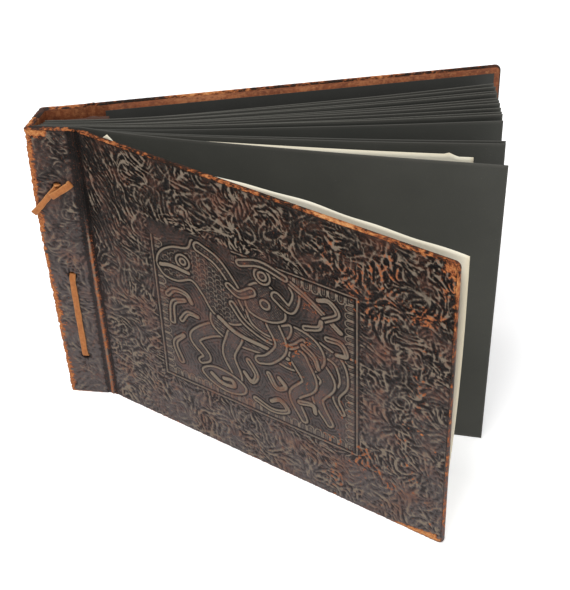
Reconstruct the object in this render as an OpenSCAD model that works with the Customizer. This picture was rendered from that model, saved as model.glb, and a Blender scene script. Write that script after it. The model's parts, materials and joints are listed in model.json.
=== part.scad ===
// Laced scrapbook album: two hinged leather covers, a laced binding strip on each side of the
// spine, and a block of fourteen black leaves. It stands on its bottom edges, half open.
// +Z is up, +X runs along the back cover to its fore edge, +Y points out through the back cover.
// The origin is the middle of the footprint, on the ground.

/* [Covers] */
// Height of the covers
cover_h = 229; // [200:1:260]
// Width of a cover, from its crease to its fore edge
cover_w = 276.5; // [240:0.5:300]
// Thickness of a covered board
cover_t = 4.2; // [3.8:0.1:5]
// Thickness of the leather on the outer side
leather_t = 1.2; // [0.8:0.1:1.4]
// Thickness of the leather turned in on the inner side
turn_in_t = 0.8; // [0.5:0.1:1]
// Width of the turned-in leather
turn_in_w = 15; // [10:1:20]
// Radius of the cover corners
corner_r = 4; // [3:0.5:8]
// Thickness of the pasted-down lining
lining_t = 0.3; // [0.2:0.1:0.4]
// Leather left showing round the lining
lining_margin = 5; // [3:1:8]

/* [Binding] */
// Width of the binding strip, from the spine edge to the crease
strip_w = 31.6; // [28:0.1:36]
// Width of the spine
spine_w = 27.3; // [26:0.1:30]
// Thickness of the spine
spine_t = 3; // [2.6:0.1:3.6]
// Half width of the bendable groove at each crease
groove_half = 4; // [3.5:0.5:5]
// Radius of the three lace holes
hole_r = 3.6; // [3.5:0.1:4]
// Distance of the lace holes from the spine edge
hole_from_edge = 14; // [12:1:16]
// Distance between neighbouring lace holes
hole_pitch = 74; // [60:1:80]

/* [Leaves] */
// Height of the leaves
leaf_h = 226; // [190:1:226]
// Width of the rearmost leaf, from its crease to its fore edge
leaf_w = 266.5; // [220:0.5:270]
// Thickness of a leaf
leaf_t = 0.45; // [0.3:0.05:0.5]
// How far the leaves bow towards the front near their creases
leaf_bow = 4; // [0:0.5:4]

/* [Lace] */
// Width of the leather lace
lace_w = 4.3; // [3.5:0.1:4.3]
// Thickness of the leather lace
lace_t = 1.6; // [1.2:0.1:1.7]

/* [Opening] */
// Angle of the front binding strip from the back cover
strip_turn = 15.5; // [15.5:0.1:17]
// Angle of the front cover from the back cover
front_turn = 41.2; // [35:0.1:60]
// Lean of the spine from square to the back strip
spine_lean = 22.2; // [20:0.1:24]

/* [Hidden] */
$fn = 48;
clear = 0.3;                      // running gap round a crease bead
bead_r = 1.6;                     // rounded leather ridge at a crease
web_t = 0.8;                      // the leather is pared this thin beside a bead
crease_gap = 0.35;                // from a leaf's crease axis to its stub
fold_r = 0.27;                    // rounded fold of a leaf at its crease
leaf_lift = 0.8;                  // leaves hang this far above the ground
leaf_count = 14;
leaf_creep = 0.3;                 // each leaf reaches this much further than the one behind
bow_place = 0.35;                 // where the bow peaks, as a share of the width
leaf_turn = [0.3, 1.5, 2.1, 2.7, 3.4, 4.2, 5, 5.8, 6.8, 7.5, 8.4, 13.7, 14.2, 20.2];
footprint_mid = [145.65, -106.32]; // from the outer back corner of the spine
board_t = cover_t - leather_t - turn_in_t;
web_from = (leather_t - web_t) / 2;

// Loose cream sheets: one behind the front cover, one between the two foremost leaves
insert_t = 0.3;
front_insert_from = 26;
front_insert_gap = 0.6;           // clear of the lining at the gutter
front_insert_lift = 5.2;          // extra gap further out
front_insert_ramp = 180;          // width over which the gap grows
front_insert_h = 226;
middle_insert_turn = 17;
middle_insert_from = 36;
middle_insert_to = 251;
middle_insert_h = 222;

// Ends of the lace and its knot
tail_long = 29;
tail_short = 11;
tail_long_turn = 48;              // below the level, towards the spine
tail_short_turn = 22;             // above the level, away from the spine
tail_long_lift = 0.6;
tail_short_lift = 1;
knot_r = 3.9;
knot_h = 4.4;
step_run = 10;                    // height over which a run steps off the one under it

// Plan points, seen from the outer back corner of the spine
spine_back = [0, 0];
spine_front = spine_w * [-sin(spine_lean), -cos(spine_lean)];
front_crease = spine_front + strip_w * [cos(strip_turn), -sin(strip_turn)];
back_crease = [strip_w, 0];
crease_tilt = 90 - (strip_turn + front_turn) / 2;
front_pivot = front_crease + leather_t / 2 * [cos(crease_tilt), sin(crease_tilt)];
back_pivot = back_crease - [0, leather_t / 2];

// Creases of the first and the last leaf, and the spine ends of their stubs
crease_first = [32, -18];
crease_last = [24.3, -29];
stub_first = [2, -13.6];
stub_last = [-5.2, -21.4];

function leaf_share(i) = i / (leaf_count - 1);
function leaf_crease(i) = crease_first + leaf_share(i) * (crease_last - crease_first);
function stub_end(i) = stub_first + leaf_share(i) * (stub_last - stub_first);
function stub_run(i) = leaf_crease(i) - stub_end(i);
function bow(u) = u / bow_place * exp(1 - u / bow_place);
function leaf_name(i) = str("leaf_", i < 9 ? "0" : "", i + 1);
hole_heights = [for (k = [-1:1]) cover_h / 2 - 4 + k * hole_pitch];

// The spine fills the room between the two strips. Its faces run parallel to the line between
// the strips' outer corners, each a depth d inside that line.
spine_way = [sin(spine_lean), cos(spine_lean)];
strip_way = [cos(strip_turn), -sin(strip_turn)];
strip_inside = spine_front + cover_t * [sin(strip_turn), cos(strip_turn)];
function cross2(a, b) = a.x * b.y - a.y * b.x;
function meet(p, u, q, v) = p + u * cross2(q - p, v) / cross2(u, v);
function spine_face(d) = spine_front + d * [cos(spine_lean), -sin(spine_lean)];
function at_front(d) = meet(spine_face(d), spine_way, strip_inside, strip_way);
function at_back(d) = meet(spine_face(d), spine_way, [0, -cover_t], [1, 0]);

// The lace passes straight from the front strip's holes to the back strip's holes
lace_front = spine_front + hole_from_edge * strip_way;
lace_back = [hole_from_edge, 0];
lace_pass = lace_back - lace_front;
tunnel_turn = atan2(lace_pass.y, lace_pass.x);
front_out = [-sin(strip_turn), -cos(strip_turn)];

// Places. In each of them +X runs away from the spine edge or crease along the outer face,
// and +Y goes in through the thickness.
module album() translate(-footprint_mid) children();
module at(p, a) album() translate(p) rotate(a) children();
module on_front_strip() at(spine_front, -strip_turn) children();
module on_front_cover() at(front_crease, -front_turn) children();
module on_back_strip() at(spine_back, 0) mirror([0, 1, 0]) children();
module on_back_cover() at(back_crease, 0) mirror([0, 1, 0]) children();

// An upright plate from y0 to y1 whose outline is drawn in X and height
module plate(y0, y1) translate([0, y1, 0]) rotate([90, 0, 0]) linear_extrude(y1 - y0) children();

module span(x0, x1, z0, z1) translate([x0, z0]) square([x1 - x0, z1 - z0]);

// Cover outline with rounded fore-edge corners, drawn in by inset from the cover's edges
module cover_outline(x0, inset) {
    r = corner_r - inset;
    x1 = cover_w - inset;
    span(x0, x1 - r, inset, cover_h - inset);
    span(x0, x1, inset + r, cover_h - inset - r);
    for (z = [inset + r, cover_h - inset - r]) translate([x1 - r, z]) circle(r);
}

// Room inside a cover's turned-in leather, where the lining dips to the board
module infill_outline() {
    span(groove_half + turn_in_w / 2, cover_w - turn_in_w, turn_in_w, cover_h - turn_in_w);
}

module cover_board() plate(leather_t, leather_t + board_t)
    cover_outline(groove_half + 1, leather_t);

module cover_leather() difference() {
    union() {
        plate(0, cover_t) cover_outline(groove_half, 0);
        plate(web_from, web_from + web_t) span(0, groove_half + 1, 0, cover_h);
    }
    cover_board();
    plate(cover_t - turn_in_t, cover_t + 1) infill_outline();
}

module cover_lining() {
    plate(cover_t - turn_in_t, cover_t) infill_outline();
    plate(cover_t, cover_t + lining_t)
        span(groove_half + lining_margin, cover_w - lining_margin,
             lining_margin, cover_h - lining_margin);
}

module strip_board() plate(leather_t, leather_t + board_t)
    span(leather_t, strip_w - groove_half - 1, leather_t, cover_h - leather_t);

module strip_slab() {
    plate(0, cover_t) span(0, strip_w - groove_half, 0, cover_h);
    plate(web_from, web_from + web_t) span(strip_w - groove_half - 1, strip_w, 0, cover_h);
}

module strip_holes() for (z = hole_heights)
    translate([hole_from_edge, -1, z]) rotate([-90, 0, 0]) cylinder(h = cover_t + 2, r = hole_r);

// Crease beads, and the room a cover leaves round them
module front_bead(r) at(front_pivot, 0) cylinder(h = cover_h, r = r);
module back_bead(r) at(back_pivot, 0) cylinder(h = cover_h, r = r);

module front_board() color("#8b7653") on_front_cover() cover_board();
module back_board() color("#8b7653") on_back_cover() cover_board();
module front_lining() color("#2e2e2b") on_front_cover() cover_lining();
module back_lining() color("#2e2e2b") on_back_cover() cover_lining();

module front_leather() color("#3a2921") difference() {
    on_front_cover() cover_leather();
    front_bead(bead_r + clear);
}

module back_leather() color("#3a2921") difference() {
    on_back_cover() cover_leather();
    back_bead(bead_r + clear);
}

module front_strip_board() color("#8b7653") difference() {
    on_front_strip() strip_board();
    on_front_strip() strip_holes();
}

module back_strip_board() color("#8b7653") difference() {
    on_back_strip() strip_board();
    on_back_strip() strip_holes();
}

module front_strip_leather() color("#4b2f22") difference() {
    union() {
        on_front_strip() strip_slab();
        front_bead(bead_r);
    }
    on_front_strip() strip_board();
    on_front_strip() strip_holes();
}

module back_strip_leather() color("#4b2f22") difference() {
    union() {
        on_back_strip() strip_slab();
        back_bead(bead_r);
    }
    on_back_strip() strip_board();
    on_back_strip() strip_holes();
}

module upright(z0, z1) album() translate([0, 0, z0]) linear_extrude(z1 - z0) children();

module spine_board() color("#8b7653") upright(leather_t, cover_h - leather_t)
    polygon([at_front(leather_t), at_back(leather_t),
             at_back(spine_t - turn_in_t), at_front(spine_t - turn_in_t)]);

module spine_leather() color("#4b2f22") difference() {
    upright(0, cover_h)
        polygon([at_front(0), spine_back, [0, -cover_t], at_back(spine_t), at_front(spine_t)]);
    spine_board();
}

// The bound part of each leaf, punched for the lace
module leaf_stub(i) {
    run = stub_run(i);
    difference() {
        at(leaf_crease(i), atan2(run.y, run.x))
            translate([-norm(run), -leaf_t / 2, leaf_lift])
            cube([norm(run) - crease_gap, leaf_t, leaf_h]);
        lace_tunnel();
    }
}

module leaf_stubs() color("#3d3d38") for (i = [0:leaf_count - 1]) leaf_stub(i);

// A standing sheet from x0 to x1 that bows towards the front near its crease
module bowed_sheet(x0, x1, w, t, z0, h) {
    steps = 18;
    places = [for (k = [0:steps]) x0 + (x1 - x0) * k / steps];
    near = [for (x = places) [x, t / 2 - leaf_bow * bow(x / w)]];
    far = [for (k = [steps:-1:0]) [places[k], -t / 2 - leaf_bow * bow(places[k] / w)]];
    translate([0, 0, z0]) linear_extrude(h) polygon(concat(near, far));
}

module leaf(i) color("#3d3d38") {
    w = leaf_w + leaf_creep * i;
    at(leaf_crease(i), -leaf_turn[i]) {
        bowed_sheet(0, w, w, leaf_t, leaf_lift, leaf_h);
        translate([0, 0, leaf_lift]) cylinder(h = leaf_h, r = fold_r);
    }
}

function insert_gap(x) = let (u = min(1, (x - front_insert_from) / front_insert_ramp))
    front_insert_gap + front_insert_lift * (1 - cos(180 * u)) / 2;

module front_insert() color("#ddd7bf") {
    steps = 16;
    face = cover_t + lining_t;
    places = [for (k = [0:steps]) front_insert_from + (cover_w - front_insert_from) * k / steps];
    near = [for (x = places) [x, face + insert_gap(x)]];
    far = [for (k = [steps:-1:0]) [places[k], face + insert_gap(places[k]) + insert_t]];
    on_front_cover() linear_extrude(front_insert_h) polygon(concat(near, far));
}

module middle_insert() color("#ddd7bf") {
    crease = (leaf_crease(leaf_count - 2) + leaf_crease(leaf_count - 1)) / 2;
    at(crease, -middle_insert_turn)
        bowed_sheet(middle_insert_from, middle_insert_to, leaf_w, insert_t, leaf_lift, middle_insert_h);
}

module lace_tunnel() for (z = hole_heights) at(lace_front, tunnel_turn)
    translate([0, 0, z]) rotate([0, 90, 0]) cylinder(h = norm(lace_pass), r = hole_r);

// One pass through the block: a flat strap, wide across the strip and lace_t high
module lace_through(z) album() translate([0, 0, z - lace_t / 2]) linear_extrude(lace_t)
    polygon([lace_front + lace_t * front_out - lace_w / 2 * strip_way,
             lace_front + lace_t * front_out + lace_w / 2 * strip_way,
             lace_back + [lace_w / 2, 0], lace_back + [lace_w / 2, lace_t],
             lace_back + [-lace_w / 2, lace_t], lace_back - [lace_w / 2, 0]]);

module tail(length, turn, lift) translate([hole_from_edge, -lift, hole_heights[2]])
    rotate([90, turn, 0]) linear_extrude(lace_t) {
        translate([0, -lace_w / 2]) square([length - lace_w / 2, lace_w]);
        translate([length - lace_w / 2, 0]) circle(lace_w / 2);
    }

// Knot, drawn as a smooth pebble that stands on the strip's outer face
module knot() translate([hole_from_edge, 0, hole_heights[2]]) rotate([90, 0, 0])
    rotate_extrude() intersection() {
        translate([0, -knot_h]) scale(knot_r / knot_h) translate([0, knot_h]) circle(knot_h * 1.05);
        square([knot_r * 1.2, knot_h]);
    }

module lace() color("#b5713a") {
    bottom = hole_heights[0];
    middle = hole_heights[1];
    top = hole_heights[2];
    for (z = [bottom, middle, top - lace_t / 2, top + lace_t / 2]) lace_through(z);
    // Front run, from the middle hole to the bottom hole
    on_front_strip() plate(-lace_t, 0)
        span(hole_from_edge - lace_w / 2, hole_from_edge + lace_w / 2, bottom, middle);
    // Back runs: a short one on the strip and a long one that lies over it
    album() translate([hole_from_edge - lace_w / 2, 0, 0]) rotate([90, 0, 90])
        linear_extrude(lace_w) {
            span(0, lace_t, middle, top);
            polygon([[0, bottom], [lace_t, bottom], [lace_t, middle - step_run],
                     [2 * lace_t, middle], [2 * lace_t, top + lace_t], [lace_t, top + lace_t],
                     [lace_t, middle], [0, middle - step_run]]);
        }
    on_front_strip() {
        knot();
        tail(tail_long, 180 - tail_long_turn, tail_long_lift);
        tail(tail_short, -tail_short_turn, tail_short_lift);
    }
}

front_board();
front_leather();
front_lining();
back_board();
back_leather();
back_lining();
front_strip_board();
front_strip_leather();
back_strip_board();
back_strip_leather();
spine_board();
spine_leather();
leaf_stubs();
lace();
front_insert();
middle_insert();
for (i = [0:leaf_count - 1]) leaf(i);
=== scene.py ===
import json
from math import cos, pi, radians, sin

import bpy
import numpy as np
from mathutils import Matrix, Vector


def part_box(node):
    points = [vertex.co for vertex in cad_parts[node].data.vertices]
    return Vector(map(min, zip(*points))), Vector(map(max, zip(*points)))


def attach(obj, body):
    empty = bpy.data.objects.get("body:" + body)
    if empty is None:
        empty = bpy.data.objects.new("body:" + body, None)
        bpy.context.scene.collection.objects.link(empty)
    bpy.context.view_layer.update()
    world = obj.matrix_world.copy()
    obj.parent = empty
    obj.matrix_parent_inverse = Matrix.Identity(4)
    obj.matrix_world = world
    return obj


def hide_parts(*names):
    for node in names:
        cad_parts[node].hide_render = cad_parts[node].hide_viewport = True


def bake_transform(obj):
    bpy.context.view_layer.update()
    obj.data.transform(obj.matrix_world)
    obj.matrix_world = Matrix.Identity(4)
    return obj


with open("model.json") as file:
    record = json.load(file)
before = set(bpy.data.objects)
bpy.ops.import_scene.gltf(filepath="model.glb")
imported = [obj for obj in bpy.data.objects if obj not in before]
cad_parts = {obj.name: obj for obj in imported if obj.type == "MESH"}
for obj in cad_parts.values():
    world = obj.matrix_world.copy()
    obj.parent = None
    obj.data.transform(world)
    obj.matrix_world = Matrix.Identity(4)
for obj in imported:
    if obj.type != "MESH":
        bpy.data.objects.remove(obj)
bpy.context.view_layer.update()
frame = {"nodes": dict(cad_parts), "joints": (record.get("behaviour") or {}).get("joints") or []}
mm = 0.001

# Lengths below are millimetres in the row frame; makeMesh turns them into metres.


def nodeBox(name):
    low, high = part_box(name)
    return np.array(low) / mm, np.array(high) / mm


def unit(v):
    return np.asarray(v, float) / np.linalg.norm(v)


def way(degrees):
    return np.array([cos(radians(degrees)), sin(radians(degrees))])


def smooth(x):
    t = np.clip(x, 0, 1)
    return t * t * (3 - 2 * t)


def curveThrough(a, b, c, d, t):
    # Catmull-Rom: a place on the curve from b to c
    return 0.5 * (2 * b + (c - a) * t + (2 * a - 5 * b + 4 * c - d) * t ** 2
                  + (3 * b - a - 3 * c + d) * t ** 3)


# Plan.

turns = {"strip": 15.5, "cover": 41.2, "spineLean": 22.2}
hinge = {j["name"]: np.array(j["pos_m"][:2]) / mm for j in frame["joints"] if j["type"] == "hinge"}
backLow, backHigh = nodeBox("back_leather")
coverT = backHigh[1] - backLow[1]
coverH = backHigh[2]
spineBack = np.array([nodeBox("back_strip_leather")[0][0], backHigh[1]])
backCrease = np.array([hinge["back_cover_hinge"][0], backHigh[1]])
stripW = backCrease[0] - spineBack[0]
coverW = backHigh[0] - backCrease[0]
spineW = (spineBack[0] - nodeBox("front_strip_leather")[0][0]) / sin(radians(turns["spineLean"]))
spineWay = way(90 - turns["spineLean"])  # from the front edge of the spine to its back edge
spineFront = spineBack - spineW * spineWay
frontWay, coverWay = way(-turns["strip"]), way(-turns["cover"])
spineT = 3.0


def leftOf(v):
    return np.array([-v[1], v[0]])


class SkinPlan:
    # A cover seen from above: s runs from the middle of the spine (negative) round the spine's
    # edge at 0, along the strip, over the crease at stripW and on to the fore edge.
    rounding, bend = 1.7, 4.0

    def __init__(self, edge, spineOut, spineIn, stripOut, stripIn, coverOut, coverIn):
        self.edge, self.spineOut, self.spineIn = edge, spineOut, spineIn
        self.stripOut, self.stripIn, self.coverOut, self.coverIn = stripOut, stripIn, coverOut, coverIn
        self.crease = edge + stripOut * stripW
        self.proud = -spineIn
        # how far back from the edge the inner faces of spine and strip meet
        apart = spineIn * spineT - stripIn * coverT
        self.back = np.linalg.solve(np.column_stack([spineOut, stripOut]), apart)

    def thickness(self, s):
        t = spineT + (coverT - spineT) * smooth((s + self.rounding) / (2 * self.rounding))
        return t - 1.7 * np.exp(-(((s - stripW) / 3.3) ** 4))

    def swell(self, s, z):
        # the old spine leather stands a little proud of its board, most of all above the middle
        amount = 2.0 + 1.8 * np.sin(pi * np.clip(z / coverH, 0, 1) ** 1.5)
        return self.proud * (amount * (1 - smooth(s / 13)))[:, None]

    def place(self, s):
        # outer point and the way in, scaled so that the thickness reaches the inner face
        s = np.atleast_1d(np.asarray(s, float))[:, None]
        t = self.thickness(s)
        onSpine = self.edge + self.spineOut * s
        onStrip = self.edge + self.stripOut * s
        onCover = self.crease + self.coverOut * (s - stripW)
        outer = np.where(s < 0, onSpine, np.where(s < stripW, onStrip, onCover))
        for at, middle, before, after, reach in (
            (0, self.edge, self.spineOut, self.stripOut, self.rounding),
            (stripW, self.crease, self.stripOut, self.coverOut, self.bend),
        ):
            u = np.clip((s - at + reach) / (2 * reach), 0, 1)
            curve = ((1 - u) ** 2 * (middle - before * reach) + 2 * u * (1 - u) * middle
                     + u ** 2 * (middle + after * reach))
            outer = np.where(np.abs(s - at) < reach, curve, outer)
        spineInner = self.edge + self.spineOut * np.minimum(s, -abs(self.back[0])) + self.spineIn * spineT
        stripInner = self.edge + self.stripOut * np.maximum(s, self.back[1]) + self.stripIn * coverT
        nearEdge = np.where(s < 0, spineInner, stripInner)
        turn = smooth((s - stripW + self.bend) / (2 * self.bend))
        normal = self.stripIn * (1 - turn) + self.coverIn * turn
        normal = normal / np.linalg.norm(normal, axis=1)[:, None]
        full = spineT + (coverT - spineT) * smooth((s + self.rounding) / (2 * self.rounding))
        return outer, np.where(s < 12, (nearEdge - outer) / full, normal), t[:, 0]


frontPlan = SkinPlan(spineFront, -spineWay, -leftOf(spineWay), frontWay, leftOf(frontWay),
                     coverWay, leftOf(coverWay))
backPlan = SkinPlan(spineBack, spineWay, -leftOf(spineWay), way(0), -leftOf(way(0)),
                    way(0), -leftOf(way(0)))
print("plan: strip %.1f, cover %.1f x %.1f, spine %.1f mm" % (stripW, coverW, coverH, spineW))

# Meshes.


def makeMesh(name, points, faces, materials, faceMaterial=None, attributes=None, hard=False):
    # points in millimetres, faces a list of index arrays with three or four corners
    mesh = bpy.data.meshes.new(name)
    points = np.asarray(points, float) * mm
    faces = np.asarray(faces, np.int32)
    corners = faces.shape[1]
    mesh.vertices.add(len(points))
    mesh.vertices.foreach_set("co", points.ravel())
    mesh.loops.add(faces.size)
    mesh.loops.foreach_set("vertex_index", faces.ravel())
    mesh.polygons.add(len(faces))
    mesh.polygons.foreach_set("loop_start", np.arange(0, faces.size, corners, dtype=np.int32))
    if faceMaterial is not None:
        mesh.polygons.foreach_set("material_index", np.asarray(faceMaterial, np.int32))
    for key, values in (attributes or {}).items():
        kind = "FLOAT_VECTOR" if np.ndim(values) == 2 else "FLOAT"
        layer = mesh.attributes.new(key, kind, "POINT")
        field = "vector" if kind == "FLOAT_VECTOR" else "value"
        layer.data.foreach_set(field, np.asarray(values, np.float32).ravel())
    mesh.update()
    mesh.validate()
    mesh.polygons.foreach_set("use_smooth", np.full(len(mesh.polygons), not hard))
    for material in materials:
        mesh.materials.append(material)
    piece = bpy.data.objects.new(name, mesh)
    bpy.context.scene.collection.objects.link(piece)
    return piece


def triples(x, y, z=0.0):
    # rows of three from grids or numbers
    return np.column_stack([np.ravel(part) for part in np.broadcast_arrays(x, y, z)])


def twoSides(middle, facing, thick, height):
    # the two faces of a sheet, half its thickness each way
    return [np.concatenate([middle + facing * half * thick, height[..., None]], -1) for half in (-0.5, 0.5)]


def gridFaces(rows, columns, start=0, keep=None):
    index = np.arange(rows * columns).reshape(rows, columns) + start
    quads = np.stack([index[:-1, :-1], index[1:, :-1], index[1:, 1:], index[:-1, 1:]], -1)
    return (quads if keep is None else quads[keep]).reshape(-1, 4)


def sheetSolid(near, far, keep=None):
    # a closed sheet between two grids of points, with walls round its outline and its holes
    rows, columns = near.shape[:2]
    keep = np.ones((rows - 1, columns - 1), bool) if keep is None else keep
    count = rows * columns
    faces = [gridFaces(rows, columns, 0, keep), gridFaces(rows, columns, count, keep)[:, ::-1]]
    index = np.arange(count).reshape(rows, columns)
    padded = np.pad(keep, 1)
    below, above = padded[:-1, 1:-1], padded[1:, 1:-1]
    for kept, other, flip in ((above, below, 0), (below, above, 1)):
        r, c = np.nonzero(kept & ~other)
        wall = np.stack([index[r, c], index[r, c + 1], index[r, c + 1] + count, index[r, c] + count], -1)
        faces.append(wall[:, ::-1] if flip else wall)
    left, right = padded[1:-1, :-1], padded[1:-1, 1:]
    for kept, other, flip in ((right, left, 1), (left, right, 0)):
        r, c = np.nonzero(kept & ~other)
        wall = np.stack([index[r, c], index[r + 1, c], index[r + 1, c] + count, index[r, c] + count], -1)
        faces.append(wall[:, ::-1] if flip else wall)
    return np.concatenate([near.reshape(-1, 3), far.reshape(-1, 3)]), np.concatenate(faces)


def steps(marks, pitch):
    # places through every mark, about a pitch apart
    parts = [np.linspace(a, b, max(1, round((b - a) / pitch)) + 1)[:-1] for a, b in zip(marks, marks[1:])]
    return np.concatenate(parts + [[marks[-1]]])


def faceOutward(piece):
    bpy.ops.object.select_all(action="DESELECT")
    bpy.context.view_layer.objects.active = piece
    piece.select_set(True)
    bpy.ops.object.mode_set(mode="EDIT")
    bpy.ops.mesh.select_all(action="SELECT")
    bpy.ops.mesh.remove_doubles(threshold=1e-7)
    bpy.ops.mesh.normals_make_consistent(inside=False)
    bpy.ops.object.mode_set(mode="OBJECT")
    piece.select_set(False)
    return piece


# Height pictures of the leather.

cell = 0.5  # millimetres between samples
leather = {
    "seed": 23, "ridge": 0.56, "valley": 1.15, "run": 4.4, "turnOver": 4.8,
    "coverHeight": 0.5, "stripHeight": 0.38, "backHeight": 0.36,
}


def blurred(picture, reach):
    # gaussian blur, reach in samples
    fy = np.fft.fftfreq(picture.shape[0])[:, None]
    fx = np.fft.rfftfreq(picture.shape[1])[None, :]
    soft = np.exp(-2 * (pi * reach) ** 2 * (fx ** 2 + fy ** 2))
    return np.fft.irfft2(np.fft.rfft2(picture) * soft, picture.shape)


def evened(picture):
    return (picture - picture.mean()) / picture.std()


def cloud(shape, size, rng):
    return evened(blurred(rng.standard_normal(shape), size / cell))


def combed(noise, alongS, alongZ, reach):
    # drags the noise along a field of directions, which draws long creases
    rows, columns = noise.shape
    total = noise.copy()
    for sign in (1, -1):
        z, s = np.meshgrid(np.arange(rows, dtype=float), np.arange(columns, dtype=float), indexing="ij")
        for _ in range(reach):
            i = np.clip(np.rint(z).astype(int), 0, rows - 1)
            j = np.clip(np.rint(s).astype(int), 0, columns - 1)
            s += sign * alongS[i, j]
            z += sign * alongZ[i, j]
            i = np.clip(np.rint(z).astype(int), 0, rows - 1)
            j = np.clip(np.rint(s).astype(int), 0, columns - 1)
            total += noise[i, j]
    return evened(total)


class Picture:
    # values on a grid of samples over s and z, read between them in a straight line
    def __init__(self, values, s0, z0, step=cell):
        self.values, self.s0, self.z0, self.step = values, s0, z0, step

    def __call__(self, s, z):
        x = np.clip((s - self.s0) / self.step, 0, self.values.shape[1] - 1.001)
        y = np.clip((z - self.z0) / self.step, 0, self.values.shape[0] - 1.001)
        j, i = x.astype(int), y.astype(int)
        u, v = x - j, y - i
        a = self.values
        return ((a[i, j] * (1 - u) + a[i, j + 1] * u) * (1 - v)
                + (a[i + 1, j] * (1 - u) + a[i + 1, j + 1] * u) * v)


sLow, sHigh = -15.0, stripW + coverW + 1
zLow, zHigh = -1.0, coverH + 1
zGrid, sGrid = np.meshgrid(np.arange(zLow, zHigh + cell, cell), np.arange(sLow, sHigh + cell, cell),
                           indexing="ij")


def crinkle(seed, pull=None):
    # two layers of creases over each other, whose directions wander
    rng = np.random.default_rng(seed)
    layers = []
    for layer in range(2):
        alongS = cloud(sGrid.shape, leather["turnOver"], rng)
        alongZ = cloud(sGrid.shape, leather["turnOver"], rng)
        if pull is not None:
            alongS, alongZ = alongS + pull[0], alongZ + pull[1]
        size = np.hypot(alongS, alongZ) + 1e-6
        # creases about as wide as the gaps between them
        speckle = rng.standard_normal(sGrid.shape)
        ridges = blurred(speckle, leather["ridge"] / cell)
        noise = evened(ridges - blurred(speckle, leather["valley"] / cell))
        layers.append(combed(noise, alongS / size, alongZ / size, round(leather["run"] / cell)))
    folds = np.maximum(layers[0], layers[1] * 0.9 - 0.25)
    calm = 0.75 + 0.25 * np.tanh(cloud(sGrid.shape, 6.0, rng))
    return np.tanh(1.7 * evened(folds)) * calm + 0.08 * cloud(sGrid.shape, 0.5, rng)


# Near the hinge at the top of the front cover the creases run down and away from the strip.
coverS = sGrid - stripW
fan = smooth((46 - coverS) / 30) * smooth((zGrid - 120) / 60) * smooth(coverS / 6)
frontCrinkle = crinkle(leather["seed"], (fan * 2.2, -fan * 4.8))
backCrinkle = crinkle(leather["seed"] + 8)
print("leather: creases combed on a grid of %d x %d" % sGrid.shape)

# Embossed picture.

panel = {
    "from": (50.0, 40.0), "to": (216.0, 188.0),  # cover s and z
    "band": 0.85, "recess": 1.0, "height": 0.75, "depth": 0.6,
    "frame": (57.0, 50.0, 210.0, 177.0), "scallop": 6.1,
}
panelCell = 0.5
pz, ps = np.meshgrid(np.arange(panel["from"][1], panel["to"][1] + 0.01, panelCell),
                     np.arange(panel["from"][0], panel["to"][0] + 0.01, panelCell), indexing="ij")


def longer(points):
    # one more point at each end, straight on
    return np.concatenate([2 * points[:1] - points[1:2], points, 2 * points[-1:] - points[-2:-1]])


def throughPoints(points, closed, each=9):
    p = np.asarray(points, float)
    p = np.concatenate([p[-1:], p, p[:2]]) if closed else longer(p)
    t = np.linspace(0, 1, each, endpoint=False)[:, None]
    line = np.concatenate([curveThrough(*four, t) for four in zip(p, p[1:], p[2:], p[3:])])
    return np.concatenate([line, line[:1]] if closed else [line, p[-2:-1]])


def distanceTo(line):
    # distance from every sample to a line, and how far along it the nearest place is
    best = np.full(ps.shape, 1e9)
    along = np.zeros(ps.shape)
    for k, (a, b) in enumerate(zip(line, line[1:])):
        v = b - a
        t = np.clip(((ps - a[0]) * v[0] + (pz - a[1]) * v[1]) / max(v @ v, 1e-9), 0, 1)
        d = np.hypot(ps - a[0] - t * v[0], pz - a[1] - t * v[1])
        nearer = d < best
        best = np.where(nearer, d, best)
        along = np.where(nearer, (k + t) / (len(line) - 1), along)
    return best, along


def insideOf(line):
    crossed = np.zeros(ps.shape, bool)
    for a, b in zip(line, line[1:]):
        if a[1] != b[1]:
            spans = (pz >= min(a[1], b[1])) & (pz < max(a[1], b[1]))
            crossed ^= spans & (ps < a[0] + (pz - a[1]) * (b[0] - a[0]) / (b[1] - a[1]))
    return crossed


def outlineShape(points):
    line = throughPoints(points, True)
    return np.where(insideOf(line), -1, 1) * distanceTo(line)[0]


def limbShape(points, startWidth, endWidth):
    d, along = distanceTo(throughPoints(points, False))
    return d - (startWidth + (endWidth - startWidth) * along) / 2


def ringShape(middle, radius):
    return np.hypot(ps - middle[0], pz - middle[1]) - radius


fills = {
    "plain": lambda: 0 * ps,
    "stipple": lambda: 0.3 * np.cos(ps * 2.6) * np.cos(pz * 2.6),
    "scales": lambda: 0.32 * np.cos(2.1 * np.hypot((ps + 3) % 6 - 3, (pz % 4) - 1) * 1.3),
    "hatch": lambda: 0.3 * np.cos((ps * 0.8 + pz * 1.9) * 1.5),
    "mane": lambda: 0.3 * np.cos((ps * 1.5 - pz * 0.9) * 1.4),
}

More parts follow.
